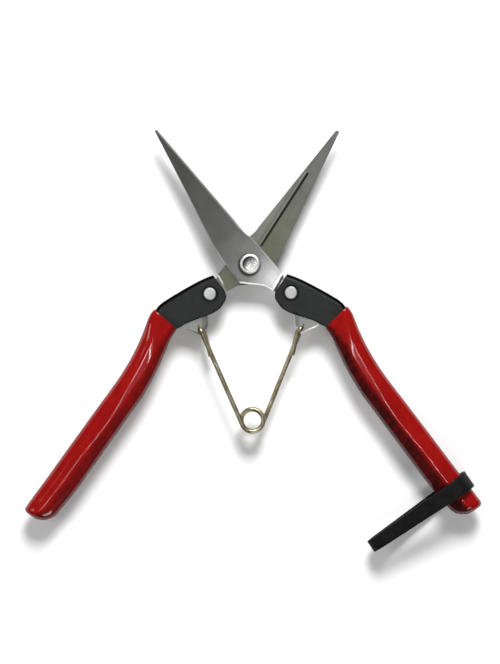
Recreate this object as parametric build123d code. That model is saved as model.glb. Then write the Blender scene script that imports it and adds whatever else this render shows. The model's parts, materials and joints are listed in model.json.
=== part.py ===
"""Spring-opened snips: two identical pivoted halves, a wire torsion spring and a closing strap.

The right half is modelled once about the pivot axis (+Y to the tips, +Z to the front, Z = 0 midway
between the blades). The left half is the same set of pieces turned over about the Y axis.
"""
import os
from math import asin, atan2, cos, degrees, pi, radians, sin

from build123d import *

# Blades
PLATE_T = 2.2          # thickness of the forged plate
BLADE_GAP = 0.1        # running gap between the two plates
TANG_HALF = 1.1        # half thickness of the joggled tang
BEVEL_W = 0.7          # width of the steep bevel along the cutting edge
BEVEL_OVERRUN = 6.0    # bevel ground past the tip
BEVEL_RUNOUT = 3.0     # length over which the bevel runs out past the heel
BEVEL_RISE = 0.4       # height of the wheel above the plate at the end of the run-out
EDGE_T = 0.9           # thickness left at the cutting edge
EDGE_BREAK = 0.3       # chamfer round the plate's outer face
BUTT_BREAK = (0.6, 0.8)    # chamfer of the butt, across and down
GRIND_DEPTH = 0.2      # depth of the hollow grind on the inner face
GROOVE_DEPTH = 0.55    # depth of the groove where the grind starts
TIP_WEAR = 1.7         # length ground off the back blade's tip
TIP_SLANT = 0.094      # slope of that ground end
JOGGLE_RUN = 0.95      # length over which the plate steps down to the tang
JOGGLE_END = 1.6       # far end of the joggle, inside the tang
JOGGLE_ROOT = 0.4      # lap of the joggle into the plate
LUG_BREAK = 0.5        # chamfer round the spring lug

# Pivot
PIVOT_D = 5.8
PIVOT_FIT = 0.05       # radial running fit in the back blade
NUT_D = 8.0
NUT_H = 1.9
NUT_ROUND = 0.7        # rounding of the nut's outer rim
NUT_FIT = 0.03         # radial play of the nut's bore on the bolt
NUT_MOUTH = 0.2        # chamfer at the mouth of the nut's bore
BOLT_HEAD_D = 9.4
BOLT_HEAD_H = 1.7
BOLT_HEAD_ROUND = 0.8
BOLT_HEAD_PLAY = 0.05  # play between the bolt's head and the back blade
BOLT_END_SINK = 0.5    # bolt end below the nut's face
BOLT_END_BREAK = 0.3   # chamfer at the bolt's end
SOCKET_AF = 3.6        # hexagon socket across flats
SOCKET_DEPTH = 1.2
SOCKET_POINT = 0.25    # drill point below the socket's floor
SOCKET_LEAD = 0.3      # lead-in chamfer of the socket

# Handles
SHEET = 1.2            # channel sheet thickness
CHANNEL_BREAK = 0.5    # rounding of the channel's free edges
CAVITY_OVERRUN = 5.0   # hollow of the channel past its front
CAVITY_REACH = 25.0    # and past its open side
BEND_R = 2.0           # outside bend radius of the channel
FRONT_HALF = 2.35      # half thickness of the channel over the tang
GRIP_HALF = 4.8        # half thickness of the grip
GRIP_ROUND = 3.8       # rounding of the grip's long edges
GRIP_END_OUT_R = 3.0   # plan radius at the grip's outer end corner
GRIP_END_IN_R = 7.5    # plan radius at the grip's inner end corner
GRIP_W = 12.0          # width of the grip over its straight length
HANDLE_SLOPE = 54.7    # fall of the grip's straight length, degrees
RIVET_AT = (16.2, -11.75)  # centre of the rivet
RIVET_D = 3.0
RIVET_HEAD_D = 5.0
RIVET_HEAD_H = 0.8
RIVET_HEAD_ROUND = 0.45
RIVET_FIT = 0.02       # radial play of the rivet's holes
GRIP_TAIL = 8.0        # grip beyond the end of its straight outer edge
GRIP_MOUTH_OUT = -40   # heading of the outer edge at the grip's mouth, degrees
GRIP_MOUTH_IN = 132    # heading of the inner edge at the grip's mouth, degrees

# Spring
WIRE_D = 1.9
COIL_R = 4.4           # mean radius
COIL_Y = -62.5
LEG_Z = 2.65           # height of each leg from mid-plane
HOLE_AT = (20.3, -25.6)    # centre of the spring's hole in the lug
HOLE_D = 2.1
HOOK_R = 1.2
RETURN_SIDE = 2.6      # length of the return end's first, sideways run
RETURN_SIDE_LEAN = 42  # lean of that run from the handle's closing line, degrees
RETURN_LEN = 9.4       # length of the return end's second run
RETURN_LEAN = 14       # lean of that run, degrees
RETURN_R = 1.5
COIL_TURNS = 2         # whole turns, besides the arc between the legs
COIL_SPLIT_GAP = 1.5   # degrees left open between the two halves of the coil

# Strap
STRAP_T = 1.7
STRAP_RING_R = 7.25    # inner radius round the grip
STRAP_RING_OFF = 0.75  # centre of the ring from the grip axis, toward the fold
STRAP_FOLD_R = 2.3     # inner radius of the far fold
STRAP_REACH = 35.15    # centre of the ring to the centre of the far fold
STRAP_TILT = 1.4       # lean of the strap up the grip, degrees
STRAP_W_RING = 7.2
STRAP_W_FOLD = 5.2
STRAP_BACK = 3.65      # distance of the strap's centre up the grip from the end of its straight edge
STRAP_TAPER_NEAR = 12.0    # start of the strap's taper, before the centre of the ring
STRAP_TAPER_FAR = 6.0  # end of the taper, beyond the far fold

# Modelling allowances
LAP = 0.1              # overlap that fuses neighbouring lengths of one body
THROUGH = 12.0         # reach of a cut that passes right through
NEAR = 1e-3
FACE_UP = BLADE_GAP / 2 + PLATE_T    # outer face of the front plate
FACE_IN = BLADE_GAP / 2              # its inner face

# Blade outline, tip to shoulder along the cutting edge, then back along the spine
CUTTING_EDGE = [(-36.4, 54.3), (-3.6, 14.65)]
HEEL = [(-3.6, 14.65), (-1.9, 12.5), (0.6, 10.7)]
NECK = [(0.6, 10.7), (13.1, -4.1)]
SHOULDER = [(13.1, -4.1), (9.2, -10.8)]
BUTT = [(9.2, -10.8), (5.2, -8.7), (-4.1, -7.6)]
FLANK = [(-4.1, -7.6), (-9.7, -0.2)]
SPINE_ROOT = [(-9.7, -0.2), (-13.2, 5.6), (-16.6, 12.2)]
SPINE = [(-16.6, 12.2), (-37.3, 53.7)]

# Hollow grind and its groove, tang with the spring's lug, and reach of the joggle
GRIND = [(-3.0, 4.6), (-23.75, 36.05), (-31.5, 39.0), (-22.0, 14.0), (-10.5, -0.8)]
GROOVE = [(-2.45, 4.8), (-23.6, 36.15), (-23.9, 35.95), (-3.15, 4.4)]
TANG = [(13.05, -5.4), (32.7, -17.1), (28.6, -24.0), (27.3, -25.1), (24.6, -26.0)]
LUG = [(24.6, -26.0), (19.95, -28.35), (17.35, -24.7), (17.2, -20.4)]
TANG_INNER = [(14.4, -18.4), (12.2, -16.6), (10.5, -14.2), (9.9, -12.1), (10.0, -11.2)]
JOGGLE_PLAN = [(5, -20), (22, -20), (13.15, -4.9), (12.9, -4.05), (5, 0)]

# Channel outer edge, front corner to the flare, then the front and inner edges back from it
CHANNEL_OUTER = [(14.8, -4.3), (20.2, -6.4), (25.2, -9.0), (30.1, -11.75), (34.9, -14.7)]
CHANNEL_FRONT = [(14.8, -4.3), (10.25, -10.9)]
CHANNEL_NOSE = [(10.25, -10.9), (9.75, -12.6), (10.8, -15.5)]
CHANNEL_INNER = [(10.8, -15.5), (13.1, -18.25), (16.6, -20.1), (22.2, -22.0), (28.4, -24.9)]

# Cross-sections of the channel from the start of the flare: outer point, inner point, half thickness
CHANNEL_STATIONS = [
    ((34.93, -14.66), (28.36, -24.96), 2.4),
    ((36.8, -16.2), (29.3, -25.3), 2.55),
    ((38.2, -18.1), (30.4, -25.9), 2.8),
    ((40.0, -22.8), (32.8, -27.9), 3.2),
    ((41.8, -27.6), (35.0, -31.6), 3.5),
    ((44.9, -34.8), (38.1, -38.5), 3.6),
    ((48.7, -41.9), (42.2, -45.9), 3.6),
    ((53.1, -48.4), (46.9, -52.7), 3.6),
    ((82.8, -89.0), (76.2, -93.6), 3.6),
]

# Grip edges from the mouth down the outside, and back up the inside
GRIP_OUTER = [(38.8, -17.8), (40.6, -20.4), (43.3, -27.3), (46.5, -34.3), (50.3, -41.0), (54.6, -47.3)]
GRIP_INNER = [(44.1, -52.0), (38.7, -43.9), (35.0, -36.2), (32.4, -30.2), (29.9, -25.9)]
OUTER_END = (86.7, -91.1)  # end of the grip's straight outer edge


def polar(angle, radius=1.0):
    return Vector(radius * cos(radians(angle)), radius * sin(radians(angle)))


def shifted(point, direction, distance):
    return Vector(*point) + direction * distance


def prism(points, low, high):
    """Straight-sided block over a polygon."""
    face = make_face(Polyline(*points, close=True))
    return extrude(Pos(0, 0, low) * face, high - low)


def rod(at, diameter, low, high):
    return Pos(at[0], at[1], (low + high) / 2) * Cylinder(diameter / 2, high - low)


def turned_over(shape):
    """A right-half piece as its left-half twin."""
    return Rot(0, 180, 0) * shape


# ---------------------------------------------------------------- blades

def plan_middle(edge):
    return Vector(edge.center().X, edge.center().Y)


def lies_on(edge, line):
    """Whether an edge's middle is close, in plan, to one of a line's spans."""
    middle = plan_middle(edge)
    gaps = []
    for a, b in zip(line, line[1:]):
        a, b = Vector(*a), Vector(*b)
        share = max(0, min(1, (middle - a).dot(b - a) / (b - a).length ** 2))
        gaps.append((a + (b - a) * share - middle).length)
    return min(gaps) < EDGE_BREAK


def blade_plate():
    """Flat plate with its outer rim broken, apart from the cutting edge, shoulder and tip."""
    edges = [
        Line(*CUTTING_EDGE),
        Spline(*HEEL),
        Line(NECK[0], NECK[-1]),
        Line(*SHOULDER),
        Line(BUTT[0], BUTT[1]),
        Line(BUTT[1], BUTT[2]),
        Line(*FLANK),
        Spline(*SPINE_ROOT),
        Line(*SPINE),
        Line(SPINE[-1], CUTTING_EDGE[0]),
    ]
    plate = extrude(Pos(0, 0, FACE_IN) * make_face(Wire(edges)), PLATE_T)
    butt = plate.edges().group_by(Axis.Z)[-1].filter_by(lambda e: lies_on(e, BUTT))
    plate = chamfer(butt, *BUTT_BREAK, reference=plate.faces().sort_by(Axis.Z)[-1])
    rim = plate.edges().group_by(Axis.Z)[-1]
    broken = (HEEL, NECK, FLANK, SPINE_ROOT, SPINE)
    return chamfer(rim.filter_by(lambda e: any(lies_on(e, line) for line in broken)), EDGE_BREAK)


def edge_bevel():
    """What grinding takes off the outer face along the cutting edge."""
    tip, heel = Vector(*CUTTING_EDGE[0]), Vector(*CUTTING_EDGE[1])
    along = (heel - tip).normalized()
    inward = Vector(along.Y, -along.X)
    slope = (FACE_UP - EDGE_T - FACE_IN) / BEVEL_W

    def section(run, lift):
        corners = []
        for reach in (-BEVEL_OVERRUN, BEVEL_W + BEVEL_OVERRUN):
            p = heel + along * run + inward * reach
            corners.append((p.X, p.Y, FACE_IN + EDGE_T + lift + slope * reach))
        corners.append((corners[0][0], corners[0][1], corners[1][2]))
        return make_face(Polyline(*corners, close=True))

    lift = FACE_UP + BEVEL_RISE - FACE_IN - EDGE_T
    start = tip - along * BEVEL_OVERRUN
    main = loft([section(-(heel - start).length, 0), section(0, 0)], ruled=True)
    run_out = loft([section(0, 0), section(BEVEL_RUNOUT, lift)], ruled=True)
    return main + run_out


def joggle():
    """Step from the plate down to the centred tang, along the shoulder."""
    a, b = Vector(*SHOULDER[0]), Vector(*SHOULDER[1])
    along = (b - a).normalized()
    plane = Plane(origin=(a.X, a.Y, 0), x_dir=(0, 0, 1), z_dir=(along.X, along.Y, 0))
    out = 1 if plane.y_dir.dot(Vector(-along.Y, along.X)) > 0 else -1
    section = [(-JOGGLE_ROOT, FACE_IN), (-JOGGLE_ROOT, FACE_UP), (0, FACE_UP), (JOGGLE_RUN, TANG_HALF)]
    section += [(JOGGLE_END, TANG_HALF), (JOGGLE_END, -TANG_HALF), (JOGGLE_RUN, -TANG_HALF), (0, FACE_IN)]
    profile = Polyline(*[(z, run * out) for run, z in section], close=True)
    step = extrude(plane * make_face(profile), (b - a).length)
    return step & prism(JOGGLE_PLAN, -THROUGH, THROUGH)


def tang():
    """Tang inside the channel, with the spring's lug."""
    body = prism(TANG + LUG[1:] + TANG_INNER, -TANG_HALF, TANG_HALF)
    lug_edges = [(Vector(*a) + Vector(*b)) / 2 for a, b in zip(LUG, LUG[1:])]
    rims = body.edges().filter_by(lambda e: abs(abs(e.center().Z) - TANG_HALF) < NEAR)
    rims = rims.filter_by(lambda e: min((plan_middle(e) - m).length for m in lug_edges) < NEAR)
    body = chamfer(rims, LUG_BREAK)
    body -= rod(RIVET_AT, RIVET_D + 2 * RIVET_FIT, -THROUGH, THROUGH)
    return body - rod(HOLE_AT, HOLE_D, -THROUGH, THROUGH)


def worn_tip():
    """What regrinding has taken off a blade's tip."""
    tip = Vector(*CUTTING_EDGE[0])
    along = (tip - Vector(*SPINE[0])).normalized()
    side = Vector(-along.Y, along.X) * THROUGH
    lean = along * (TIP_SLANT * THROUGH)
    near = tip - along * TIP_WEAR
    far = tip + along * THROUGH
    corners = [near + side + lean, near - side - lean, far - side, far + side]
    return prism([(c.X, c.Y) for c in corners], -THROUGH, THROUGH)


def blade(pivot_hole):
    body = blade_plate() + joggle() + tang()
    body -= edge_bevel()
    body -= prism(GRIND, FACE_IN - LAP, FACE_IN + GRIND_DEPTH)
    body -= prism(GROOVE, FACE_IN - LAP, FACE_IN + GROOVE_DEPTH)
    return body - rod((0, 0), pivot_hole, -THROUGH, THROUGH)


# ---------------------------------------------------------------- pivot

def pivot_bolt():
    end = FACE_UP + NUT_H - BOLT_END_SINK
    head_top = -FACE_UP - BOLT_HEAD_PLAY
    head = rod((0, 0), BOLT_HEAD_D, head_top - BOLT_HEAD_H, head_top)
    head = fillet(head.edges().group_by(Axis.Z)[0], BOLT_HEAD_ROUND)
    shank = rod((0, 0), PIVOT_D, head_top - LAP, end)
    shank = chamfer(shank.edges().group_by(Axis.Z)[-1], BOLT_END_BREAK)
    floor = end - SOCKET_DEPTH
    half = SOCKET_AF / 2
    hexagon = RegularPolygon(half, 6, major_radius=False)
    socket = extrude(Pos(0, 0, floor) * hexagon, SOCKET_DEPTH + LAP)
    point = Pos(0, 0, floor - SOCKET_POINT / 2) * Cone(NEAR, half, SOCKET_POINT)
    lead_in = Pos(0, 0, end) * Cone(half, half + 2 * SOCKET_LEAD, 2 * SOCKET_LEAD)
    return head + shank - socket - point - lead_in


def pivot_nut():
    ring = rod((0, 0), NUT_D, FACE_UP, FACE_UP + NUT_H)
    ring = fillet(ring.edges().group_by(Axis.Z)[-1], NUT_ROUND)
    ring -= rod((0, 0), PIVOT_D + 2 * NUT_FIT, 0, THROUGH)
    mouth = ring.edges().group_by(Axis.Z)[-1].sort_by(SortBy.RADIUS)[0]
    return chamfer(mouth, NUT_MOUTH)


# ---------------------------------------------------------------- handles

def channel_face(outer, inner, half, filled=False):
    """Cross-section of the pressed channel: a web at the outer point, two flanges to the inner point."""
    o, i = Vector(*outer), Vector(*inner)
    width = (i - o).length
    across = (i - o).normalized()
    plane = Plane(origin=(o.X, o.Y, 0), x_dir=(across.X, across.Y, 0), z_dir=(-across.Y, across.X, 0))

    def rounded_end(x0, h, r):
        """Points and arcs of a D shape open at the inner side."""
        c = r * (1 - cos(pi / 4))
        return [
            Line((width, h), (x0 + r, h)),
            ThreePointArc((x0 + r, h), (x0 + c, h - c), (x0, h - r)),
            Line((x0, h - r), (x0, r - h)),
            ThreePointArc((x0, r - h), (x0 + c, c - h), (x0 + r, -h)),
            Line((x0 + r, -h), (width, -h)),
        ]

    edges = rounded_end(0, half, BEND_R)
    if filled:
        edges.append(Line((width, -half), (width, half)))
    else:
        inside = half - SHEET
        edges += rounded_end(SHEET, inside, BEND_R - SHEET)
        edges += [Line((width, half), (width, inside)), Line((width, -half), (width, -inside))]
    return plane * make_face(Wire(edges))


def bent_over(curve, closing, half, bend):
    """Solid inside a curved edge and closing lines, with that edge bent over on both faces."""
    body = extrude(make_face(Wire([Spline(*curve), *closing])), half, both=True)
    rims = body.edges().filter_by(lambda e: abs(abs(e.center().Z) - half) < NEAR)
    middle = plan_middle(Spline(*curve))
    return fillet(rims.filter_by(lambda e: (plan_middle(e) - middle).length < NEAR), bend)


def channel_front():
    """Front length of the channel, over the tang."""
    edge = Spline(*CHANNEL_OUTER)
    outer_end, inner_end = Vector(*CHANNEL_OUTER[-1]), Vector(*CHANNEL_INNER[-1])
    lap = edge.tangent_at(1) * LAP
    closing = [
        Line(outer_end, outer_end + lap),
        Line(outer_end + lap, inner_end + lap),
        Line(inner_end + lap, inner_end),
        Spline(*CHANNEL_INNER),
        ThreePointArc(*CHANNEL_NOSE),
        Line(*CHANNEL_FRONT),
    ]
    body = bent_over(CHANNEL_OUTER, closing, FRONT_HALF, BEND_R)
    rims = body.edges().filter_by(lambda e: abs(abs(e.center().Z) - FRONT_HALF) < NEAR)
    free = (CHANNEL_FRONT, CHANNEL_NOSE, CHANNEL_INNER)
    body = fillet(rims.filter_by(lambda e: any(lies_on(e, line) for line in free)), CHANNEL_BREAK)

    inside = []
    for k in range(len(CHANNEL_OUTER)):
        share = k / (len(CHANNEL_OUTER) - 1)
        inside.append(edge.position_at(share) + edge.tangent_at(share).rotate(Axis.Z, -90) * SHEET)
    first, last = inside[0] - edge.tangent_at(0) * CAVITY_OVERRUN, inside[-1] + 2 * lap
    across_first, across_last = (edge.tangent_at(end).rotate(Axis.Z, -90) * CAVITY_REACH for end in (0, 1))
    sides = [
        Line(last, last + across_last),
        Line(last + across_last, first + across_first),
        Line(first + across_first, first),
    ]
    return body - bent_over([first, *inside, last], sides, FRONT_HALF - SHEET, BEND_R - SHEET)


def channel_rear(filled=False):
    """Flared rear length of the channel."""
    return loft([channel_face(o, i, h, filled) for o, i, h in CHANNEL_STATIONS], ruled=True)


def handle_frame():
    body = channel_front() + channel_rear()
    return body - rod(RIVET_AT, RIVET_D + 2 * RIVET_FIT, -THROUGH, THROUGH)


def grip_outline():
    down = polar(-HANDLE_SLOPE)
    across = polar(-HANDLE_SLOPE - 90)
    end_out = shifted(OUTER_END, down, GRIP_TAIL)
    end_in = end_out + across * GRIP_W
    straight_out = Vector(*GRIP_OUTER[-1])
    straight_in = Vector(*GRIP_INNER[0])
    outer_dir = (end_out - straight_out).normalized()
    inner_dir = (straight_in - end_in).normalized()
    edges = [
        Spline(*GRIP_OUTER, tangents=[polar(GRIP_MOUTH_OUT), outer_dir]),
        Line(straight_out, end_out),
        Line(end_out, end_in),
        Line(end_in, straight_in),
        Spline(*GRIP_INNER, tangents=[inner_dir, polar(GRIP_MOUTH_IN)]),
        Line(GRIP_INNER[-1], GRIP_OUTER[0]),
    ]
    face = make_face(Wire(edges))
    out_corner = face.vertices().sort_by_distance(end_out)[0]
    face = fillet(out_corner, GRIP_END_OUT_R)
    in_corner = face.vertices().sort_by_distance(end_in)[0]
    return fillet(in_corner, GRIP_END_IN_R)


def grip_solid():
    body = extrude(Pos(0, 0, -GRIP_HALF) * grip_outline(), 2 * GRIP_HALF)
    rims = body.edges().filter_by(lambda e: abs(abs(e.center().Z) - GRIP_HALF) < NEAR)
    mouth = (Vector(*GRIP_OUTER[0]) + Vector(*GRIP_INNER[-1])) / 2
    rims = rims.filter_by(lambda e: (plan_middle(e) - mouth).length > GRIP_ROUND)
    return fillet(rims, GRIP_ROUND)


def grip():
    return grip_solid() - channel_rear(filled=True)


def rivet():
    """Flat round head on both sides of the channel."""
    shank = rod(RIVET_AT, RIVET_D, -FRONT_HALF - LAP, FRONT_HALF + LAP)
    head = rod(RIVET_AT, RIVET_HEAD_D, FRONT_HALF, FRONT_HALF + RIVET_HEAD_H)
    head = fillet(head.edges().group_by(Axis.Z)[-1], RIVET_HEAD_ROUND)
    return shank + head + mirror(head, Plane.XY)


# ---------------------------------------------------------------- spring

def spring_half():
    """Right half of the spring: hook, leg behind the lug and half of the coil."""
    hole = Vector(HOLE_AT[0], HOLE_AT[1])
    centre = Vector(0, COIL_Y)
    away = hole - centre
    lean = degrees(atan2(away.X, away.Y)) - degrees(asin(COIL_R / away.length))
    leg_dir = Vector(-sin(radians(lean)), -cos(radians(lean)))
    touch = centre + Vector(-leg_dir.Y, leg_dir.X) * COIL_R
    return_dir = polar(270 - RETURN_SIDE_LEAN)
    return_knee = hole + return_dir * RETURN_SIDE
    return_end = return_knee + polar(270 - RETURN_LEAN) * RETURN_LEN

    bend = HOOK_R * (1 - cos(pi / 4))
    reach = HOOK_R * cos(pi / 4)

    def at(plan, z):
        return Vector(plan.X, plan.Y, z)

    hook_in = hole + leg_dir * HOOK_R
    hook_out = hole + return_dir * HOOK_R
    straight_z = LEG_Z - HOOK_R
    over = at(hole + return_dir * bend, straight_z + reach)
    under = at(hole + leg_dir * bend, -straight_z - reach)
    run = FilletPolyline(return_end, return_knee, hook_out, radius=RETURN_R)
    path = Wire([
        *[e.moved(Location((0, 0, LEG_Z))) for e in run.edges()],
        ThreePointArc(at(hook_out, LEG_Z), over, at(hole, straight_z)),
        Line(at(hole, straight_z), at(hole, -straight_z)),
        ThreePointArc(at(hole, -straight_z), under, at(hook_in, -LEG_Z)),
        Line(at(hook_in, -LEG_Z), at(touch, -LEG_Z)),
    ])
    section = Plane(origin=path @ 0, z_dir=path % 0) * Circle(WIRE_D / 2)
    leg = sweep(section, path)

    start = degrees(atan2(touch.Y - centre.Y, touch.X - centre.X))
    turns = COIL_TURNS + 2 * (90 + start) / 360
    pitch = 2 * LEG_Z / turns
    half_turns = (turns - COIL_SPLIT_GAP / 360) / 2
    helix = Helix(pitch, pitch * half_turns, COIL_R, lefthand=True)
    helix = Pos(0, COIL_Y, -LEG_Z) * Rot(0, 0, start) * helix
    joint = Plane(origin=at(touch, -LEG_Z), z_dir=at(leg_dir, 0)) * Circle(WIRE_D / 2)
    coil = sweep(joint, helix, is_frenet=True)
    return leg + coil


# ---------------------------------------------------------------- strap

def strap_centre():
    """Grip axis point under the middle of the strap."""
    middle = Vector(*OUTER_END) + polar(-HANDLE_SLOPE - 90) * (GRIP_W / 2)
    return middle - polar(-HANDLE_SLOPE) * STRAP_BACK


def belt_face(extra):
    """Outline round two circles, in the plane across the grip."""
    big, small = STRAP_RING_R + extra, STRAP_FOLD_R + extra
    lean = asin((big - small) / STRAP_REACH)
    bx, by = big * sin(lean), big * cos(lean)
    sx, sy = STRAP_REACH + small * sin(lean), small * cos(lean)
    return make_face(Wire([
        ThreePointArc((bx, by), (-big, 0), (bx, -by)),
        Line((bx, -by), (sx, -sy)),
        ThreePointArc((sx, -sy), (STRAP_REACH + small, 0), (sx, sy)),
        Line((sx, sy), (bx, by)),
    ]))


def closing_strap():
    middle = strap_centre()
    across = polar(-HANDLE_SLOPE - 90 - STRAP_TILT)
    down = polar(-HANDLE_SLOPE - STRAP_TILT)
    middle += across * STRAP_RING_OFF
    plane = Plane(origin=(middle.X, middle.Y, 0), x_dir=(across.X, across.Y, 0), z_dir=(down.X, down.Y, 0))
    band = belt_face(STRAP_T) - belt_face(0)
    loop = extrude(plane * band, STRAP_W_RING / 2, both=True)
    near = middle - across * STRAP_TAPER_NEAR
    far = middle + across * (STRAP_REACH + STRAP_TAPER_FAR)
    ring_side, fold_side = down * (STRAP_W_RING / 2), down * (STRAP_W_FOLD / 2)
    taper = [near + ring_side, near - ring_side, far - fold_side, far + fold_side]
    return loop & prism([(p.X, p.Y) for p in taper], -THROUGH, THROUGH)


def main():
    right = {
        "front_blade": blade(PIVOT_D),
        "right_handle_frame": handle_frame(),
        "right_grip": grip(),
        "right_rivet": rivet(),
        "spring_right": spring_half(),
    }
    parts = dict(right)
    parts["pivot_bolt"] = pivot_bolt()
    parts["pivot_nut"] = pivot_nut()
    parts["back_blade"] = turned_over(blade(PIVOT_D + 2 * PIVOT_FIT) - worn_tip())
    twins = {
        "left_handle_frame": "right_handle_frame",
        "left_grip": "right_grip",
        "left_rivet": "right_rivet",
        "spring_left": "spring_right",
    }
    for name, twin in twins.items():
        parts[name] = turned_over(right[twin])
    parts["closing_strap"] = closing_strap()

    # Bottom centre of the bounding box becomes the origin
    boxes = [shape.bounding_box() for shape in parts.values()]
    middle_x = (min(b.min.X for b in boxes) + max(b.max.X for b in boxes)) / 2
    middle_y = (min(b.min.Y for b in boxes) + max(b.max.Y for b in boxes)) / 2
    shift = Pos(-middle_x, -middle_y, -min(b.min.Z for b in boxes))
    os.makedirs("parts", exist_ok=True)
    for name, shape in parts.items():
        moved = shift * shape
        moved.label = name
        export_step(moved, f"parts/{name}.step")


if __name__ == "__main__":
    main()
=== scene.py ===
import json
from math import asin, atan2, cos, pi, radians, sin, sqrt

import bmesh
import bpy
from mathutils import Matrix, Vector


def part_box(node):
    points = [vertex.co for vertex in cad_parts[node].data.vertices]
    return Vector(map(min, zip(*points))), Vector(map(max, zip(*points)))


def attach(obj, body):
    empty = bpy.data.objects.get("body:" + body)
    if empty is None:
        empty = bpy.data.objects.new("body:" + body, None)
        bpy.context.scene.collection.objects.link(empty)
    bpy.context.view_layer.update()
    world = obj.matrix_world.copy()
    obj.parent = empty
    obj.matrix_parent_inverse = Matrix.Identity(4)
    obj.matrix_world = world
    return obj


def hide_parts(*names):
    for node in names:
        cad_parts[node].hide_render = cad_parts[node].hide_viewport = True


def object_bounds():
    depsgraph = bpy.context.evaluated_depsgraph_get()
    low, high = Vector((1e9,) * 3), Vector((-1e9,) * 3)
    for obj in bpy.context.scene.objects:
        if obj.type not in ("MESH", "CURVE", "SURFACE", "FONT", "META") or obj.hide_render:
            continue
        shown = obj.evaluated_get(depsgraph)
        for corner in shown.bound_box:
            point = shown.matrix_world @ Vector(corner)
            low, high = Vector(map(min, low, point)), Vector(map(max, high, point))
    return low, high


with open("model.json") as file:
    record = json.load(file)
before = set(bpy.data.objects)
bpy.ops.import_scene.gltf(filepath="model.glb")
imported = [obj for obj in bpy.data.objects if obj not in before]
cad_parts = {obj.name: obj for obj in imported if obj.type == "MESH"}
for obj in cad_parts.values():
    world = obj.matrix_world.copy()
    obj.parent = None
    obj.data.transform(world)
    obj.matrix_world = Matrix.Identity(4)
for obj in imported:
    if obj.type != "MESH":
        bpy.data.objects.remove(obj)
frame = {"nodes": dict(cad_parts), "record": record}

cad_low, cad_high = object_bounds()

MM = 0.001

# The pivot axis and the mid-plane between the blades, in the row frame
nut_low, nut_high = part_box("pivot_nut")
grip_low, grip_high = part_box("right_grip")
PIVOT = Vector((
    (nut_low.x + nut_high.x) / 2, (nut_low.y + nut_high.y) / 2, (grip_low.z + grip_high.z) / 2))
JOINTS = {j["name"]: j for j in frame["record"]["behaviour"]["joints"]}


def at(x, y, z=0.0):
    """A point given in millimetres from the pivot."""
    return PIVOT + Vector((x, y, z)) * MM


# ------------------------------------------------------------------ materials

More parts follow.
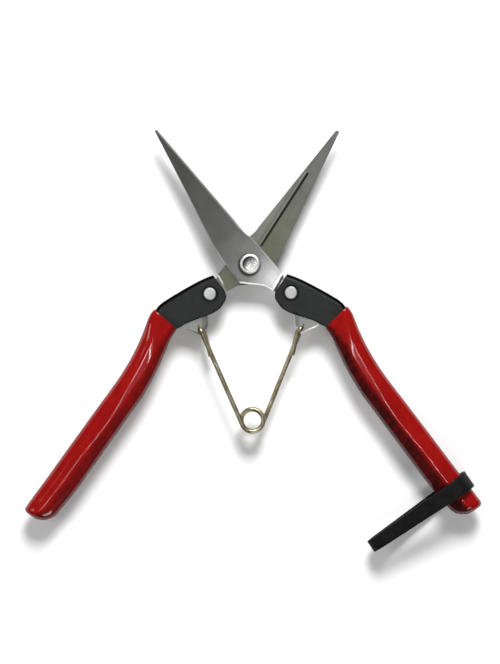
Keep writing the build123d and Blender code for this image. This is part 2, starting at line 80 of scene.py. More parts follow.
class Nodes:
    """Short hand for building one node material on the object's own coordinates, in metres."""

    def __init__(self, name):
        self.material = bpy.data.materials.new(name)
        self.material.use_nodes = True
        self.tree = self.material.node_tree
        self.shader = self.tree.nodes["Principled BSDF"]
        self.coords = self.tree.nodes.new("ShaderNodeTexCoord").outputs["Object"]

    def link(self, a, b):
        self.tree.links.new(a, b)

    def mapped(self, scale, angle=0.0, offset=(0, 0, 0)):
        """Object coordinates turned about Z by angle degrees, then scaled."""
        turn = self.tree.nodes.new("ShaderNodeMapping")
        turn.inputs["Rotation"].default_value = (0, 0, radians(angle))
        turn.inputs["Location"].default_value = offset
        stretch = self.tree.nodes.new("ShaderNodeMapping")
        stretch.inputs["Scale"].default_value = scale
        self.link(self.coords, turn.inputs["Vector"])
        self.link(turn.outputs["Vector"], stretch.inputs["Vector"])
        return stretch.outputs["Vector"]

    def noise(self, vector, scale=1.0, detail=3.0, rough=0.5, distortion=0.0):
        n = self.tree.nodes.new("ShaderNodeTexNoise")
        n.inputs["Scale"].default_value = scale
        n.inputs["Detail"].default_value = detail
        n.inputs["Roughness"].default_value = rough
        n.inputs["Distortion"].default_value = distortion
        self.link(vector, n.inputs["Vector"])
        return n.outputs["Fac"]

    def voronoi(self, vector, scale=1.0, feature="F1"):
        n = self.tree.nodes.new("ShaderNodeTexVoronoi")
        n.feature = feature
        n.inputs["Scale"].default_value = scale
        self.link(vector, n.inputs["Vector"])
        return n.outputs["Distance"]

    def remap(self, value, low, high, out_low, out_high):
        """Value moved from one range to another, and held at its ends."""
        n = self.tree.nodes.new("ShaderNodeMapRange")
        limits = {"From Min": low, "From Max": high, "To Min": out_low, "To Max": out_high}
        for key, v in limits.items():
            n.inputs[key].default_value = v
        self.link(value, n.inputs["Value"])
        return n.outputs["Result"]

    def vary(self, noise, out_low, out_high):
        """Noise, most of which lies between 0.3 and 0.7, moved to another range."""
        return self.remap(noise, 0.3, 0.7, out_low, out_high)

    def math(self, operation, a, b):
        n = self.tree.nodes.new("ShaderNodeMath")
        n.operation = operation
        for k, v in enumerate((a, b)):
            if isinstance(v, (int, float)):
                n.inputs[k].default_value = v
            else:
                self.link(v, n.inputs[k])
        return n.outputs["Value"]

    def mix(self, factor, a, b):
        """Colour a to colour b by factor. Each is a colour or a socket."""
        n = self.tree.nodes.new("ShaderNodeMix")
        n.data_type = "RGBA"
        self.link(factor, n.inputs["Factor"])
        for socket, v in ((n.inputs[6], a), (n.inputs[7], b)):
            if isinstance(v, tuple):
                socket.default_value = (*v, 1)
            else:
                self.link(v, socket)
        return n.outputs[2]

    def vector_math(self, operation, a, b, output="Value"):
        """Vector operation between a socket and a socket or a plain vector."""
        n = self.tree.nodes.new("ShaderNodeVectorMath")
        n.operation = operation
        self.link(a, n.inputs[0])
        if isinstance(b, (tuple, Vector)):
            n.inputs[1].default_value = b
        else:
            self.link(b, n.inputs["Scale" if operation == "SCALE" else 1])
        return n.outputs[output]

    def distance(self, point):
        return self.vector_math("DISTANCE", self.coords, point)

    def shade(self, color, factor):
        return self.vector_math("SCALE", color, factor, "Vector")

    def facing(self, direction):
        """Cosine between the surface and a direction of the object."""
        n = self.tree.nodes.new("ShaderNodeTexCoord")
        return self.vector_math("DOT_PRODUCT", n.outputs["Normal"], direction)

    def steepness(self, low, high):
        """0 on faces square to Z, rising to 1 on steep ones."""
        flatness = self.math("ABSOLUTE", self.facing((0.0, 0.0, 1.0)), 0.0)
        return self.remap(flatness, low, high, 0.0, 1.0)

    def strip(self, start, end, half_width, soft):
        """1 within a strip between two points, seen along Z."""
        way = (end - start).normalized()
        from_start = self.vector_math("SUBTRACT", self.coords, start, "Vector")
        sideways = self.vector_math("DOT_PRODUCT", from_start, Vector((-way.y, way.x, 0)))
        across = self.math("ABSOLUTE", sideways, 0.0)
        along = self.vector_math("DOT_PRODUCT", from_start, way)
        length = (end - start).length
        inside = self.remap(across, half_width, half_width + soft, 1.0, 0.0)
        inside = self.math("MULTIPLY", inside, self.remap(along, -soft, 0.0, 0.0, 1.0))
        return self.math("MULTIPLY", inside, self.remap(along, length, length + soft, 1.0, 0.0))

    def ramp(self, value, stops):
        """Colour from (position, colour) stops."""
        n = self.tree.nodes.new("ShaderNodeValToRGB")
        last = stops[-1][0]
        for k, (position, color) in enumerate(stops):
            stop = n.color_ramp.elements[k] if k < 2 else n.color_ramp.elements.new(position / last)
            stop.position = position / last
            stop.color = (*color, 1)
        self.link(self.remap(value, 0.0, last, 0.0, 1.0), n.inputs["Fac"])
        return n.outputs["Color"]

    def bump(self, height, strength, distance, under=None):
        n = self.tree.nodes.new("ShaderNodeBump")
        n.inputs["Strength"].default_value = strength
        n.inputs["Distance"].default_value = distance
        self.link(height, n.inputs["Height"])
        if under is not None:
            self.link(under, n.inputs["Normal"])
        return n.outputs["Normal"]

    def finish(self, color, roughness, normal, **fixed):
        self.link(color, self.shader.inputs["Base Color"])
        self.link(roughness, self.shader.inputs["Roughness"])
        self.link(normal, self.shader.inputs["Normal"])
        for name, value in fixed.items():
            self.shader.inputs[name.replace("_", " ")].default_value = value
        return self.material


# The centre and colour of the painted contact shadow round the nut, and the colour of the painted shade in the
# back blade's groove
NUT_FOOT = at(-0.25, -0.35, 2.25)
NUT_SHADOW_COLOR = (0.012, 0.012, 0.010)
GROOVE_SHADE_COLOR = (0.006, 0.006, 0.005)
GROUND_ROUGHNESS = 0.36
SCRATCH_TURN = 38


def ground_steel(name, centre, tones, grain_angle, edge, groove=None, worn=()):
    """Oiled ground steel: tones by distance from centre, grinding lines, tarnish and scratches.

    On the front blade the tones are a painted reflection, bright near the shoulder and dark toward the tip.
    Steep faces near the centre take the edge colour, a painted highlight, and a painted contact shadow
    rings the nut's foot. worn lists strips of another tone, each as (start, end, half width, softness,
    colour); some are painted highlights on edges and painted shade in holes, not wear. groove is a strip
    of painted shade, without a colour.
    """
    n = Nodes(name)
    grain = n.noise(n.mapped((90, 5200, 900), grain_angle), 1.0, 4, 0.65)
    coarse = n.noise(n.mapped((40, 1500, 300), grain_angle, (3, 1, 2)), 1.0, 3, 0.6)
    cloud = n.noise(n.coords, 95, 4, 0.6, 0.4)
    spots = n.voronoi(n.coords, 900)
    scratch = n.noise(n.mapped((60, 9000, 900), grain_angle + SCRATCH_TURN, (7, 2, 5)), 1.0, 1, 0.5)
    # On the front blade this ramp is a painted reflection, bright near the shoulder and dark toward the tip
    tone = n.ramp(n.distance(centre), tones)
    mottle = n.math("ADD", n.vary(cloud, 0.8, 1.15), n.vary(grain, -0.12, 0.12))
    mottle = n.math("SUBTRACT", mottle, n.remap(spots, 0.0, 0.16, 0.3, 0.0))
    mottle = n.math("ADD", mottle, n.remap(scratch, 0.70, 0.78, 0.0, 0.3))
    color = n.shade(tone, mottle)
    # Painted highlight: steep faces near the centre take the edge colour
    steep = n.math("MULTIPLY", n.steepness(0.95, 0.82), n.remap(n.distance(centre), 0.018, 0.03, 1.0, 0.12))
    color = n.mix(steep, color, edge)
    # Painted contact shadow in a ring round the nut's foot
    nut_shadow = n.remap(n.distance(NUT_FOOT), 0.0042, 0.0050, 0.9, 0.0)
    color = n.mix(nut_shadow, color, NUT_SHADOW_COLOR)
    # Strips of another tone: painted highlights on edges, painted shade in holes, and plain tone bands
    for *line, shine in worn:
        color = n.mix(n.math("MULTIPLY", n.strip(*line), n.remap(cloud, 0.3, 0.6, 0.6, 1.0)), color, shine)
    # Painted shade along the groove
    if groove:
        groove_shade = n.math("MULTIPLY", n.strip(*groove), n.vary(cloud, 0.9, 1.0))
        color = n.mix(groove_shade, color, GROOVE_SHADE_COLOR)
    roughness = n.math(
        "ADD", n.vary(grain, GROUND_ROUGHNESS - 0.07, GROUND_ROUGHNESS + 0.08), n.vary(cloud, -0.04, 0.06))
    normal = n.bump(grain, 0.35, 0.00003)
    normal = n.bump(coarse, 0.25, 0.00005, normal)
    return n.finish(color, roughness, normal, Metallic=1.0)


def bright_steel(name, color_a, color_b, rough, painted_shade=None):
    """Plated, tumbled steel: fine pitting and cloudy wear.

    The last argument is (point, inner radius, outer radius): painted shade darkens the metal from the inner
    radius outward.
    """
    n = Nodes(name)
    fine = n.noise(n.coords, 2600, 3, 0.6)
    cloud = n.noise(n.coords, 420, 4, 0.6, 0.6)
    pits = n.voronoi(n.coords, 2400)
    color = n.mix(n.vary(cloud, 0, 1), color_a, color_b)
    color = n.mix(n.remap(pits, 0.0, 0.2, 0.5, 0.0), color, tuple(c * 0.4 for c in color_b))
    # Painted shade, growing away from the point
    if painted_shade:
        point, inner, outer = painted_shade
        color = n.shade(color, n.remap(n.distance(point), inner, outer, 1.0, 0.06))
    roughness = n.math(
        "ADD", n.vary(fine, rough - 0.06, rough + 0.1), n.vary(cloud, -0.05, 0.05))
    normal = n.bump(fine, 0.08, 0.00001)
    normal = n.bump(cloud, 0.06, 0.00003, normal)
    return n.finish(color, roughness, normal, Metallic=1.0)


def spring_wire(name):
    """Spring wire with a straw-brown heat tint, a fine tooth and specks of rust."""
    n = Nodes(name)
    fine = n.noise(n.coords, 3000, 3, 0.6)
    tint = n.noise(n.coords, 150, 4, 0.65, 0.8)
    rust = n.noise(n.coords, 700, 5, 0.7)
    color = n.mix(n.vary(tint, 0, 1), (0.20, 0.17, 0.10), (0.52, 0.47, 0.33))
    color = n.mix(n.remap(rust, 0.58, 0.72, 0.0, 0.6), color, (0.07, 0.04, 0.02))
    roughness = n.math("ADD", n.vary(fine, 0.26, 0.4), n.remap(rust, 0.55, 0.7, 0.0, 0.2))
    return n.finish(color, roughness, n.bump(fine, 0.4, 0.00004), Metallic=1.0)


RIVET_TOPS = (at(16.2, -11.75, 2.35), at(-16.2, -11.75, 2.35))


def black_paint(name):
    """Satin stoved paint on pressed steel: fine orange peel, dust and rubbed patches.

    Steep faces are painted darker and reflect least, as painted shade, and a ring round each rivet reflects
    least, as a painted shadow.
    """
    n = Nodes(name)
    peel = n.noise(n.coords, 1500, 3, 0.55)
    wave = n.noise(n.coords, 260, 3, 0.5)
    rub = n.noise(n.coords, 120, 5, 0.65, 0.7)
    dust = n.voronoi(n.coords, 1300)
    color = n.mix(n.remap(rub, 0.35, 0.7, 0, 1), (0.0015, 0.0018, 0.0018), (0.0085, 0.0105, 0.0098))
    color = n.mix(n.remap(dust, 0.0, 0.07, 0.6, 0.0), color, (0.06, 0.06, 0.055))
    # Painted shade: steep faces darkened
    steep = n.steepness(0.985, 0.85)
    color = n.mix(steep, color, (0.0015, 0.0015, 0.0015))
    dull = steep
    # Painted shadow: a ring round each rivet reflects less
    for rivet in RIVET_TOPS:
        dull = n.math("MAXIMUM", dull, n.remap(n.distance(rivet), 0.0028, 0.0036, 0.85, 0.0))
    n.link(n.remap(dull, 0.0, 1.0, 1.35, 1.02), n.shader.inputs["IOR"])
    roughness = n.math("ADD", n.vary(rub, 0.30, 0.42), n.vary(peel, -0.03, 0.05))
    normal = n.bump(peel, 0.35, 0.00004)
    normal = n.bump(wave, 0.25, 0.0002, normal)
    return n.finish(color, roughness, normal, Metallic=0.0)


STREAK_TURN = 35


def red_vinyl(name, inward, depth):
    """Glossy dipped vinyl: flow waves, faint peel, pinholes and handling haze.

    Painted shade darkens the side that faces inward by about depth, in streaks. Steep faces are painted
    near black as painted shade, and their gloss fades.
    """
    n = Nodes(name)
    flow = n.noise(n.coords, 75, 2, 0.5, 0.6)
    peel = n.noise(n.coords, 900, 3, 0.5)
    haze = n.noise(n.coords, 160, 5, 0.65, 0.5)
    streak_turn = STREAK_TURN if inward.x < 0 else -STREAK_TURN
    streak = n.noise(n.mapped((500, 60, 300), streak_turn), 1.0, 4, 0.6, 0.5)
    holes = n.voronoi(n.coords, 420)
    color = n.mix(n.vary(haze, 0, 1), (0.20, 0.0012, 0.001), (0.28, 0.003, 0.002))
    color = n.mix(n.remap(holes, 0.0, 0.05, 0.5, 0.0), color, (0.14, 0.002, 0.002))
    # Painted shade on the inward side, broken by streaks
    inward_shade = n.math(
        "ADD", n.remap(n.facing(inward), 0.05, 0.27, 0.0, depth), n.remap(streak, 0.35, 0.65, -0.22, 0.12))
    color = n.mix(n.remap(inward_shade, 0.0, 1.0, 0.0, 1.0), color, (0.03, 0.0006, 0.001))
    # Painted shade: steep faces darkened, with less gloss
    steep = n.steepness(0.45, 0.1)
    color = n.mix(steep, color, (0.03, 0.0004, 0.0004))
    n.link(n.remap(steep, 0.0, 0.6, 0.9, 0.0), n.shader.inputs["Coat Weight"])
    roughness = n.math("ADD", n.vary(haze, 0.35, 0.5), n.vary(peel, -0.02, 0.03))
    normal = n.bump(flow, 0.03, 0.0003)
    normal = n.bump(peel, 0.10, 0.00003, normal)
    return n.finish(color, roughness, normal, Metallic=0.0, IOR=1.08, Coat_IOR=1.45, Coat_Roughness=0.08)


def black_leather(name):
    """Smooth finished leather: pebbled grain cells, fine pores and worn high spots."""
    n = Nodes(name)
    cells = n.voronoi(n.coords, 1700, "DISTANCE_TO_EDGE")
    big = n.voronoi(n.coords, 700, "DISTANCE_TO_EDGE")
    pores = n.noise(n.coords, 3800, 3, 0.6)
    wear = n.noise(n.coords, 210, 5, 0.65, 0.6)
    color = n.mix(n.remap(wear, 0.3, 0.72, 0, 1), (0.002, 0.0018, 0.0018), (0.009, 0.0078, 0.0075))
    color = n.mix(n.remap(cells, 0.0, 0.08, 0.55, 0.0), color, (0.0012, 0.0012, 0.0012))
    roughness = n.math("ADD", n.vary(wear, 0.42, 0.6), n.vary(pores, -0.04, 0.06))
    normal = n.bump(n.remap(cells, 0.0, 0.12, 0.0, 1.0), 0.4, 0.00006)
    normal = n.bump(n.remap(big, 0.0, 0.15, 0.0, 1.0), 0.3, 0.0001, normal)
    normal = n.bump(pores, 0.25, 0.00003, normal)
    return n.finish(color, roughness, normal, Metallic=0.0, IOR=1.2)


def paint_node(node, material):
    """Gives a CAD node its material."""
    for slot in frame["nodes"][node].material_slots:
        slot.material = material


# ------------------------------------------------------------------ mesh helpers

def piece(name, vertices, faces, material, body, record_slot):
    """A closed, smooth-shaded mesh piece that rides on a body."""
    mesh = bpy.data.meshes.new(name)
    mesh.from_pydata([tuple(v) for v in vertices], [], faces)
    mesh.update()
    work = bmesh.new()
    work.from_mesh(mesh)
    bmesh.ops.recalc_face_normals(work, faces=work.faces)
    work.to_mesh(mesh)
    work.free()
    mesh.polygons.foreach_set("use_smooth", [True] * len(mesh.polygons))
    mesh.materials.append(material)
    obj = bpy.data.objects.new(name, mesh)
    bpy.context.scene.collection.objects.link(obj)
    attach(obj, body)
    return obj


def skin(rings, closed_along=False):
    """Vertices and faces joining rings of equal length, capped at the ends unless closed."""
    count = len(rings[0])
    vertices = [p for ring in rings for p in ring]
    faces = []
    last = len(rings) if closed_along else len(rings) - 1
    for r in range(last):
        a, b = r * count, ((r + 1) % len(rings)) * count
        for k in range(count):
            n = (k + 1) % count
            faces.append((a + k, a + n, b + n, b + k))
    if not closed_along:
        faces.append(tuple(range(count)))
        faces.append(tuple(reversed(range(len(vertices) - count, len(vertices)))))
    return vertices, faces


def smooth_path(points, steps):
    """Points on a Catmull-Rom curve through the given points."""
    ends = [points[0] * 2 - points[1], *points, points[-1] * 2 - points[-2]]
    out = []
    for i in range(1, len(ends) - 2):
        p0, p1, p2, p3 = ends[i - 1:i + 3]
        for k in range(steps):
            t = k / steps
            square_part = (2 * p0 - 5 * p1 + 4 * p2 - p3) * t * t
            cube_part = (3 * p1 - p0 - 3 * p2 + p3) * t ** 3
            out.append(((2 * p1) + (p2 - p0) * t + square_part + cube_part) * 0.5)
    out.append(points[-1])
    return out


# ------------------------------------------------------------------ grips

# Outer and inner edges of the right grip, in millimetres from the pivot
GRIP_OUTER = [(38.8, -17.8), (40.6, -20.4), (43.3, -27.3), (46.5, -34.3), (50.3, -41.0), (54.6, -47.4),
              (63.6, -59.6), (72.6, -71.9), (81.6, -84.3), (86.7, -91.1)]
GRIP_INNER = [(29.9, -25.9), (32.4, -30.0), (35.0, -36.1), (38.6, -43.9), (43.4, -52.3), (48.3, -59.2),
              (52.4, -65.0), (61.0, -76.9), (69.6, -88.9), (77.1, -98.1)]
# Half thickness along the grip and at its mouth, and the length it swells over
GRIP_HALF = 4.8
MOUTH_HALF = 4.05
SWELL_LENGTH = 16
# How square the section is: the powers of its two sides, and what they gain at the mouth
OUTER_POWER, INNER_POWER = 3.0, 2.5
OUTER_GAIN, INNER_GAIN = 2.4, 3.2
SQUARE_LENGTH = 11
# The lip at the mouth: (distance out of the mouth, distance drawn in), and the powers of its sections
LIP = ((0.42, 0.46), (0.36, 0.24), (0.2, 0.08))
LIP_POWERS = (5.4, 5.5)
# The soft ridge across the section, from -1 inner to 1 outer, and how the thickness falls away from it.
# The tables are (distance from the mouth, value) rows.
FALL_OUT = 0.14
FALL_IN = [(0, 0.10), (14, 0.07), (32, 0.11), (50, 0.22), (110, 0.22)]
RIDGE = [(0, 0.4), (22, 0.26), (48, -0.16), (68, 0.0), (110, 0.05)]
RIDGE_ROUND = 0.10
GRIP_STEPS = 9
SECTION_POINTS = 72
# Above 1, this gathers the section's points at the middle of its faces
POINT_BUNCHING = 1.5
# The closed end
END_LENGTH = 8.0
END_INNER_R = 7.5
END_OUTER_R = 1.7
END_TOP_R = 3.2
END_STEPS = 14
# How the grips bow out more than their edges say, in millimetres at the end
BOW = {1: 0.3, -1: 0.8}
BOW_START_Y = -18
BOW_RUN = 80
BOW_WAY = (0.82, 0.58)


def corner_inset(distance_to_end, radius):
    """How far a rounded corner has drawn in, this far from the end."""
    if distance_to_end >= radius:
        return 0.0
    return radius - sqrt(max(0.0, radius ** 2 - (radius - distance_to_end) ** 2))


def grip_section(outer, inner, half, outer_power, inner_power, run):
    """Rounded section between the outer and inner edges, falling away on both sides of a soft ridge."""
    middle = (outer + inner) / 2
    reach = (outer - inner) / 2
    ridge = along_grip(RIDGE, run)
    fall_in = along_grip(FALL_IN, run)
    ring = []
    for k in range(SECTION_POINTS):
        # The top face runs from the outer to the inner edge over u from -1 to 1, then the bottom face back
        u = 4 * k / SECTION_POINTS - 1
        face = 1 if u < 1 else -1
        u = u if u < 1 else u - 2
        a = pi / 2 * (1 + abs(u) ** POINT_BUNCHING * (1 if u > 0 else -1))
        power = outer_power if cos(a) > 0 else inner_power
        x = abs(cos(a)) ** (2 / power) * (1 if cos(a) >= 0 else -1) * face
        z = abs(sin(a)) ** (2 / power) * face
        from_ridge = sqrt((x - ridge) ** 2 + RIDGE_ROUND ** 2) - RIDGE_ROUND
        fall = (FALL_OUT if x > ridge else fall_in) * from_ridge
        p = middle + reach * x
        ring.append((p.x, p.y, half * z * (1 - fall)))
    return ring


def along_grip(table, run):
    """Value from (distance from the mouth, value) rows, eased between them."""
    for (a, low), (b, high) in zip(table, table[1:]):
        if run <= b:
            t = (run - a) / (b - a)
            return low + (high - low) * t * t * (3 - 2 * t)
    return table[-1][1]


def grip_rings():
    """Sections of the right grip from the lip to the closed end."""
    outer = smooth_path([Vector(p) for p in GRIP_OUTER], GRIP_STEPS)
    inner = smooth_path([Vector(p) for p in GRIP_INNER], GRIP_STEPS)
    rings, run = [], 0.0
    for i, (o, n) in enumerate(zip(outer, inner)):
        if i:
            run += ((o + n) / 2 - (outer[i - 1] + inner[i - 1]) / 2).length
        swell = sin(min(1.0, run / SWELL_LENGTH) * pi / 2)
        square = max(0.0, 1 - run / SQUARE_LENGTH)
        half = MOUTH_HALF + (GRIP_HALF - MOUTH_HALF) * swell
        rings.append(grip_section(
            o, n, half, OUTER_POWER + OUTER_GAIN * square, INNER_POWER + INNER_GAIN * square, run))
    first_o, first_n = outer[0], inner[0]
    back = ((first_o + first_n) / 2 - (outer[1] + inner[1]) / 2).normalized()
    span = (first_o - first_n).normalized()
    lip = []
    for depth, draw in LIP:
        o = first_o - span * draw + back * depth
        n = first_n + span * draw + back * depth
        lip.append(grip_section(o, n, MOUTH_HALF - draw, *LIP_POWERS, 0.0))
    rings = lip + rings
    o, n = outer[-1], inner[-1]
    across = (n - o).normalized()
    down = Vector((-across.y, across.x))
    if down.y > 0:
        down = -down
    for k in range(1, END_STEPS + 1):
        d = END_LENGTH * sin(k / END_STEPS * pi / 2)
        left = END_LENGTH - d
        eo = o + down * d + across * corner_inset(left, END_OUTER_R)
        en = n + down * d - across * corner_inset(left, END_INNER_R)
        half = GRIP_HALF - corner_inset(left, END_TOP_R)
        rings.append(grip_section(eo, en, half, OUTER_POWER, INNER_POWER, run))
    return rings


def spread(x, y, amount):
    """A point of a grip moved away from the mid-line, more toward the grip's end."""
    share = max(0.0, min(1.0, (BOW_START_Y - y) / BOW_RUN))
    return x + amount * share * BOW_WAY[0], y + amount * share * BOW_WAY[1]


def make_grip(name, side, material):
    """side +1 is the right grip, -1 the same piece turned over and bowed slightly more for the left."""
    rings = []
    for ring in grip_rings():
        moved = [(*spread(x, y, BOW[side]), z) for x, y, z in ring]
        rings.append([at(x * side, y, z * side) for x, y, z in moved])
    obj = piece(name, *skin(rings), material, "right_half" if side > 0 else "left_half", "red_vinyl")
    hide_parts("right_grip" if side > 0 else "left_grip")


# ------------------------------------------------------------------ strap

STRAP_T = 1.7
# From the ring's centre to the fold's, and the inner radius of each
STRAP_REACH = 35.15
STRAP_FOLD_R = 2.3
STRAP_RING_R = 7.25
# Width at the ring, how much narrower it is at the fold, and how wide its rounded edge is
STRAP_WIDTH = 7.2
STRAP_TAPER = 2.0
STRAP_EDGE_WIDTH = 1.1
RING_STEPS, FOLD_STEPS, RUN_STEPS = 36, 18, 26
# A quarter of the strap's section, as shares of its half width and half thickness
STRAP_QUARTER = [(0.0, 1.0), (0.3, 1.0), (0.6, 1.0), (0.8, 0.97), (0.94, 0.86), (1.0, 0.62)]


def strap_frame():
    """Centre of the ring, direction to the fold and direction along the grip, from the strap's own joint."""
    joint = JOINTS["strap_swing"]
    centre = Vector(joint["pos_m"])
    along = -Vector(joint["axis"]).normalized()
    across = Vector((along.y, -along.x, 0))
    low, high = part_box("closing_strap")
    if across.dot((low + high) / 2 - centre) < 0:
        across = -across
    return centre, across, along


def strap_line():
    """Middle line of the strap in its own plane: (reach, height, outward x, outward z), in millimetres."""
    big, small = STRAP_RING_R + STRAP_T / 2, STRAP_FOLD_R + STRAP_T / 2
    lean = asin((big - small) / STRAP_REACH)

    def arc(centre, radius, start, sweep, steps):
        turns = [start + sweep * k / steps for k in range(steps + 1)]
        return [(centre + radius * cos(a), radius * sin(a), cos(a), sin(a)) for a in turns]

    def run(nz, shares):
        nx = cos(lean - pi / 2)
        radii = [(t, big + (small - big) * t) for t in shares]
        return [(STRAP_REACH * t + r * nx, r * nz, nx, nz) for t, r in radii]

    shares = [k / RUN_STEPS for k in range(1, RUN_STEPS)]
    low_side = sin(lean - pi / 2)
    return [
        *arc(0.0, big, pi / 2 - lean, pi + 2 * lean, RING_STEPS),
        *run(low_side, shares),
        *arc(STRAP_REACH, small, lean - pi / 2, pi - 2 * lean, FOLD_STEPS),
        *run(-low_side, shares[::-1])]


def make_strap(material):
    centre, across, along = strap_frame()
    top = [(-x, z) for x, z in reversed(STRAP_QUARTER[1:])] + STRAP_QUARTER
    section = [*top, (1.0, 0.0), *((-x, -z) for x, z in top), (-1.0, 0.0)]
    length = STRAP_REACH + STRAP_FOLD_R + STRAP_T + STRAP_RING_R
    rings = []
    for x, z, out_x, out_z in strap_line():
        share = max(0.0, (x + STRAP_RING_R + STRAP_T) / length)
        half_width = (STRAP_WIDTH - STRAP_TAPER * share) / 2
        ring = []
        for s, t in section:
            side = half_width - (1 - abs(s)) * STRAP_EDGE_WIDTH if abs(s) > 0.5 else half_width * abs(s)
            side *= 1 if s > 0 else -1
            off = t * STRAP_T / 2
            in_plane = across * (x + out_x * off) + Vector((0, 0, z + out_z * off))
            ring.append(centre + (in_plane + along * side) * MM)
        rings.append(ring)
    obj = piece("strap_leather", *skin(rings, closed_along=True), material, "strap", "black_leather")
    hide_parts("closing_strap")


# ------------------------------------------------------------------ coil link

COIL_Y = -62.5
COIL_R = 4.4
LINK_R = 0.92
# Height of the spring's legs above the mid-plane
LEG_Z = 2.65
# Turn about the coil where the link starts, and how far round it goes, in degrees
LINK_START, LINK_SWEEP = -84, 61
LINK_STEPS, LINK_SIDES = 30, 20


def make_coil_link(material):
    """Wire inside the coil that keeps it whole where its two halves part as the handles close."""
    hole = JOINTS["spring_right_turn"]["pos_m"]
    x = (hole[0] - PIVOT.x) / MM
    y = (hole[1] - PIVOT.y) / MM
    lean = atan2(x, y - COIL_Y) - asin(COIL_R / sqrt(x * x + (y - COIL_Y) ** 2))
    sweep = 2 * pi * 2 + (pi - 2 * lean)
    pitch = 2 * LEG_Z / (sweep / (2 * pi))
    rings = []
    for k in range(LINK_STEPS + 1):
        a = radians(LINK_START) - radians(LINK_SWEEP) * k / LINK_STEPS
        z = pitch * (radians(-90) - a) / (2 * pi)
        out = Vector((cos(a), sin(a), 0))
        ring = []
        for m in range(LINK_SIDES):
            b = 2 * pi * m / LINK_SIDES
            from_coil = out * (COIL_R + LINK_R * cos(b)) + Vector((0, 0, z + LINK_R * sin(b)))
            ring.append(at(0, COIL_Y) + from_coil * MM)
        rings.append(ring)
    piece("spring_coil_link", *skin(rings), material, "spring_right_half", "spring_steel")


# ------------------------------------------------------------------ build

# Tones by distance in metres, from the shoulder on the front blade, where they are a painted reflection,
# bright at the shoulder and dark toward the tip, and from the pivot on the back one
FRONT_PAINTED_REFLECTION = [
    (0.0, (0.75, 0.75, 0.75)), (0.006, (0.42, 0.42, 0.415)), (0.012, (0.20, 0.20, 0.195)),
    (0.020, (0.15, 0.15, 0.144)), (0.028, (0.105, 0.105, 0.10)), (0.045, (0.075, 0.074, 0.069)),
    (0.08, (0.065, 0.064, 0.060))]
BACK_TONES = [
    (0.0, (0.11, 0.115, 0.082)), (0.012, (0.125, 0.13, 0.096)), (0.026, (0.14, 0.143, 0.118)),
    (0.045, (0.14, 0.14, 0.134)), (0.07, (0.15, 0.15, 0.147))]
FRONT_TONE_AND_LIGHT_STRIPS = [
    # The spring lug's tone, painted highlights on the eye's edge, the shoulder and the lug's end, and painted
    # shade in the lug's hole
    (at(20.0, -25.0), at(27.0, -25.0), 0.0055, 0.001, (0.26, 0.27, 0.26)),
    (at(0.6, 10.7), at(13.1, -4.1), 0.00010, 0.0002, (0.8, 0.8, 0.8)),
    (at(13.1, -4.1), at(9.2, -10.8), 0.0007, 0.0002, (0.95, 0.95, 0.95)),
    (at(27.3, -25.1), at(19.95, -28.35), 0.0005, 0.0002, (0.95, 0.95, 0.95)),
    (at(20.1, -25.2), at(20.5, -25.5), 0.0011, 0.0003, (0.01, 0.01, 0.01))]
BACK_TONE_AND_LIGHT_STRIPS = [
    # Along the groove, the spring lug, the groove's rim, a painted highlight on the shoulder and painted shade
    # in the lug's hole
    (at(1.6, 9.0), at(22.5, 40.4), 0.0010, 0.0012, (0.19, 0.194, 0.17)),
    (at(-20.0, -25.0), at(-27.0, -25.0), 0.0055, 0.001, (0.24, 0.25, 0.23)),
    (at(3.8, 7.6), at(22.9, 36.6), 0.00008, 0.00012, (0.30, 0.30, 0.28)),
    (at(-13.0, -4.4), at(-10.9, -8.0), 0.0003, 0.0002, (0.9, 0.9, 0.9)),
    (at(-20.1, -25.2), at(-20.5, -25.5), 0.0011, 0.0003, (0.01, 0.01, 0.01))]
# The strip of painted shade along the groove
BACK_GROOVE = (at(4.5, 7.1), at(23.75, 36.05), 0.00034, 0.00022)
FRONT_GRAIN, BACK_GRAIN = -120, -56

steel_front = ground_steel(
    "blade_ground_front", at(11, -7, 2), FRONT_PAINTED_REFLECTION, FRONT_GRAIN, (0.95, 0.95, 0.95), worn=FRONT_TONE_AND_LIGHT_STRIPS)
steel_back = ground_steel(
    "blade_ground_back", at(0, 0, 0), BACK_TONES, BACK_GRAIN, (0.85, 0.85, 0.83), BACK_GROOVE, BACK_TONE_AND_LIGHT_STRIPS)
# The nut's outer rim is darkened by painted shade
plated = bright_steel(
    "plated_steel", (0.92, 0.92, 0.90), (0.82, 0.82, 0.80), 0.38, (at(-0.5, 0.5, 3.9), 0.0038, 0.0056))
rivet_steel = bright_steel("rivet_steel", (0.55, 0.55, 0.54), (0.42, 0.42, 0.41), 0.42)
# The bolt's end darkens away from its lower right: painted shade in the socket
bolt_steel = bright_steel(
    "bolt_steel", (0.90, 0.90, 0.87), (0.74, 0.74, 0.71), 0.3, (at(0.9, -0.9, 3.5), 0.0020, 0.0034))
wire = spring_wire("spring_wire")
paint = black_paint("stoved_paint")
# The two grips differ in how deep their painted shade on the inward side goes
vinyl_right = red_vinyl("dipped_vinyl_right", Vector((-0.8, -0.6, 0.0)), 0.95)
vinyl_left = red_vinyl("dipped_vinyl_left", Vector((0.8, -0.6, 0.0)), 0.6)
leather = black_leather("strap_leather")

paint_node("front_blade", steel_front)
paint_node("back_blade", steel_back)
paint_node("pivot_nut", plated)
paint_node("pivot_bolt", bolt_steel)
for hand in ("right", "left"):
    paint_node(f"{hand}_rivet", rivet_steel)
    paint_node(f"{hand}_handle_frame", paint)
    paint_node(f"spring_{hand}", wire)

make_grip("right_grip_vinyl", 1, vinyl_right)
make_grip("left_grip_vinyl", -1, vinyl_left)
make_strap(leather)
make_coil_link(wire)

# ------------------------------------------------------------------ stage, light, camera

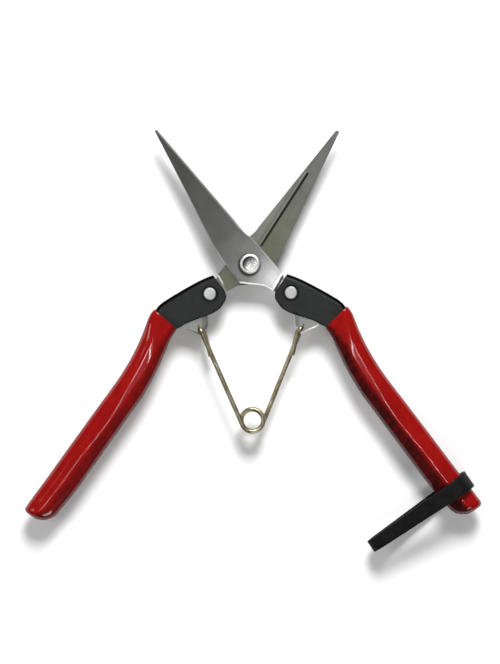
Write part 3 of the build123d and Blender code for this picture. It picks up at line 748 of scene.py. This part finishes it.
FLOOR_HALF = 3
FLOOR_GAP = 0.0002
floor_mesh = bpy.data.meshes.new("floor")
floor_mesh.from_pydata(
    [(FLOOR_HALF * x, FLOOR_HALF * y, 0) for x, y in ((-1, -1), (1, -1), (1, 1), (-1, 1))], [], [(0, 1, 2, 3)])
floor = bpy.data.objects.new("floor", floor_mesh)
bpy.context.scene.collection.objects.link(floor)
floor.location.z = cad_low.z - FLOOR_GAP
floor_nodes = Nodes("floor_paper")
tooth = floor_nodes.noise(floor_nodes.coords, 300, 3, 0.5)
floor_color = floor_nodes.mix(tooth, (0.90, 0.90, 0.90), (0.92, 0.92, 0.92))
floor_mesh.materials.append(floor_nodes.finish(
    floor_color, floor_nodes.remap(tooth, 0, 1, 0.85, 0.95), floor_nodes.bump(tooth, 0.02, 0.0001)))
floor_nodes.shader.inputs["Specular IOR Level"].default_value = 0.1


# Two narrow level lamps, one beyond each grip, whose reflections are the grips' fine highlights
STRIP_X, STRIP_Y, STRIP_HEIGHT = 127, -86, 1.5
STRIP_LONG, STRIP_WIDE, STRIP_POWER, STRIP_TURN = 0.24, 0.012, 0.85, -54.7


def area_light(name, position, target, size, power, size_y=None):
    """A square lamp, or an oblong one if size_y is given, aimed at the target."""
    data = bpy.data.lights.new(name, "AREA")
    data.shape = "RECTANGLE"
    data.size = size
    data.size_y = size_y or size
    data.energy = power
    lamp = bpy.data.objects.new(name, data)
    bpy.context.scene.collection.objects.link(lamp)
    lamp.location = position
    lamp.rotation_euler = (Vector(target) - Vector(position)).to_track_quat("-Z", "Y").to_euler()
    return lamp


area_light("key", (0.1, 0.80, 0.86), (0, 0, 0), 0.42, 18)
area_light("overhead", (0.06, -0.02, 1.7), (0, 0, 0), 0.6, 0.02)
for name, side in (("strip_right", 1), ("strip_left", -1)):
    below = at(STRIP_X * side, STRIP_Y)
    strip_light = area_light(
        name, below + Vector((0, 0, STRIP_HEIGHT)), below, STRIP_LONG, STRIP_POWER, STRIP_WIDE)
    strip_light.rotation_euler = (0, 0, radians(STRIP_TURN) * side)
area_light("front", (0.35, -0.9, 0.7), (0, -0.05, 0), 0.45, 4)
area_light("side", (-0.8, 0.1, 0.75), (0, 0, 0), 0.4, 2)

WORLD_STRENGTH = 0.12
world = bpy.data.worlds.new("studio")
world.use_nodes = True
background = world.node_tree.nodes["Background"]
background.inputs["Color"].default_value = (1, 1, 1, 1)
background.inputs["Strength"].default_value = WORLD_STRENGTH
bpy.context.scene.world = world
bpy.context.scene.view_settings.view_transform = "Standard"

# The view is straight down, turned a little, with FIELD_HEIGHT metres across the picture's long side
ROLL = radians(0.87)
DISTANCE = 1.4
FIELD_HEIGHT = 0.2656
SENSOR = 36
VIEW_CENTRE = at(-0.4, -27.2)
camera_data = bpy.data.cameras.new("camera")
camera_data.sensor_width = SENSOR
camera_data.lens = SENSOR * DISTANCE / FIELD_HEIGHT
camera = bpy.data.objects.new("camera", camera_data)
bpy.context.scene.collection.objects.link(camera)
camera.location = VIEW_CENTRE + Vector((0, 0, DISTANCE))
camera.rotation_euler = (0, 0, -ROLL)
bpy.context.scene.camera = camera
